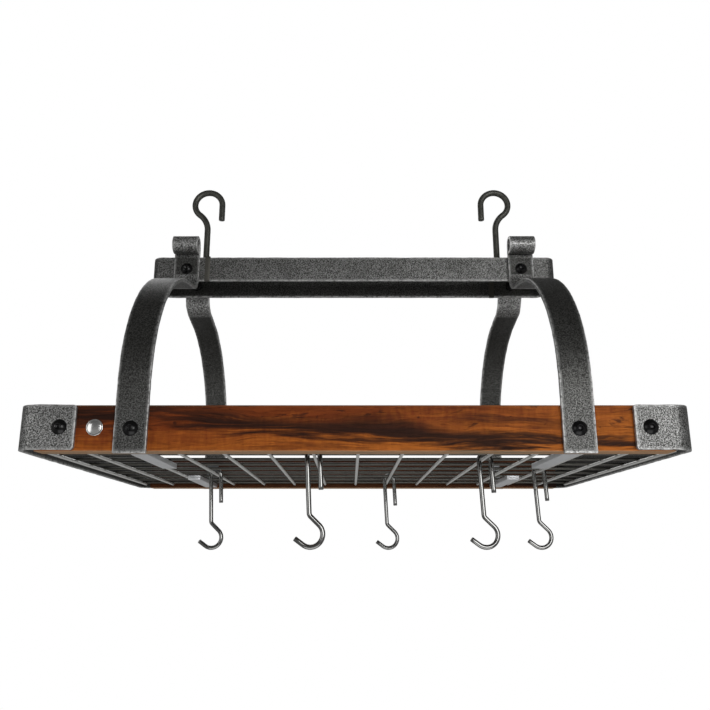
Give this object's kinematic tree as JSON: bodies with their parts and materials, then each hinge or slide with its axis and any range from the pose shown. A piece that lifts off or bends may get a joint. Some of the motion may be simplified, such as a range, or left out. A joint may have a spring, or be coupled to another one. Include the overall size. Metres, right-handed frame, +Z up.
{
  "type": "hanging pot rack",
  "caption": "Hanging rack with two wooden boards, steel end bands, arched straps with scrolls, a top frame with ceiling hooks, a loose wire grid and swinging pot hooks.",
  "frame": {"origin": "over the middle of the rack, level with the inside top of the two ceiling hooks' crooks, by which the rack hangs", "axes": "+X along the boards to the right end, +Y from the front board to the rear board, +Z up"},
  "size_m": [0.762, 0.5448, 0.5596],
  "materials": {
    "wood": "satin oiled tigerwood, orange brown with dark streaks",
    "hammered_steel": "dark grey hammered and antiqued, silver on the high spots",
    "hanger_steel": "dark grey satin coat",
    "weld": "ground weld under a thin coat",
    "bracket_steel": "pale satin steel",
    "grid_steel": "grey satin wire",
    "black_screw": "black oxide, semi-gloss",
    "chrome": "polished"
  },
  "bodies": {
    "rack": {"front_board": "wood", "rear_board": "wood", "left_end_band": "hammered_steel", "right_end_band": "hammered_steel", "strap_front_left": "hammered_steel", "strap_front_right": "hammered_steel", "strap_rear_left": "hammered_steel", "strap_rear_right": "hammered_steel", "top_frame_front_half": "hammered_steel", "top_frame_rear_half": "hammered_steel", "top_frame_welds": "weld", "hook_plate_left": "hammered_steel", "hook_plate_right": "hammered_steel", "bracket_front_left": "bracket_steel", "bracket_front_right": "bracket_steel", "bracket_rear_left": "bracket_steel", "bracket_rear_right": "bracket_steel", "band_screws": "black_screw", "strap_lower_screws": "black_screw", "strap_upper_screws": "black_screw", "strap_upper_nuts": "black_screw", "badge_disc": "chrome"},
    "grid": {"grid_long_rods": "grid_steel", "grid_cross_rods": "grid_steel"},
    "left_hanger": {"ceiling_hook_left": "hanger_steel", "hook_nuts_left": "hanger_steel"},
    "right_hanger": {"ceiling_hook_right": "hanger_steel", "hook_nuts_right": "hanger_steel"},
    "swing_hook_1": {"pot_hook_1": "chrome"},
    "swing_hook_2": {"pot_hook_2": "chrome"},
    "swing_hook_3": {"pot_hook_3": "chrome"},
    "swing_hook_4": {"pot_hook_4": "chrome"},
    "swing_hook_5": {"pot_hook_5": "chrome"}
  },
  "joints": [
    {"name": "grid_lift", "type": "slide", "parent": "rack", "child": "grid", "axis": [0, 0, 1], "range_m": [0, 0.06]},
    {"name": "left_hanger_swivel", "type": "hinge", "parent": "rack", "child": "left_hanger", "pos_m": [-0.2314, 0, -0.13315], "axis": [0, 0, 1], "continuous": true},
    {"name": "right_hanger_swivel", "type": "hinge", "parent": "rack", "child": "right_hanger", "pos_m": [0.2246, 0, -0.13315], "axis": [0, 0, 1], "continuous": true},
    {"name": "hook_swing_1", "type": "hinge", "parent": "grid", "child": "swing_hook_1", "pos_m": [-0.20944, 0.04957, -0.43847], "axis": [0, 1, 0], "range_deg": [-50, 50]},
    {"name": "hook_swing_2", "type": "hinge", "parent": "grid", "child": "swing_hook_2", "pos_m": [-0.04936, -0.19998, -0.43847], "axis": [0, 1, 0], "range_deg": [-50, 50]},
    {"name": "hook_swing_3", "type": "hinge", "parent": "grid", "child": "swing_hook_3", "pos_m": [0.05736, 0.12392, -0.43847], "axis": [0, 1, 0], "range_deg": [-50, 50]},
    {"name": "hook_swing_4", "type": "hinge", "parent": "grid", "child": "swing_hook_4", "pos_m": [0.16408, -0.15155, -0.43847], "axis": [0, 1, 0], "range_deg": [-50, 50]},
    {"name": "hook_swing_5", "type": "hinge", "parent": "grid", "child": "swing_hook_5", "pos_m": [0.2708, 0.00598, -0.43847], "axis": [0, 1, 0], "range_deg": [-50, 50]}
  ]
}
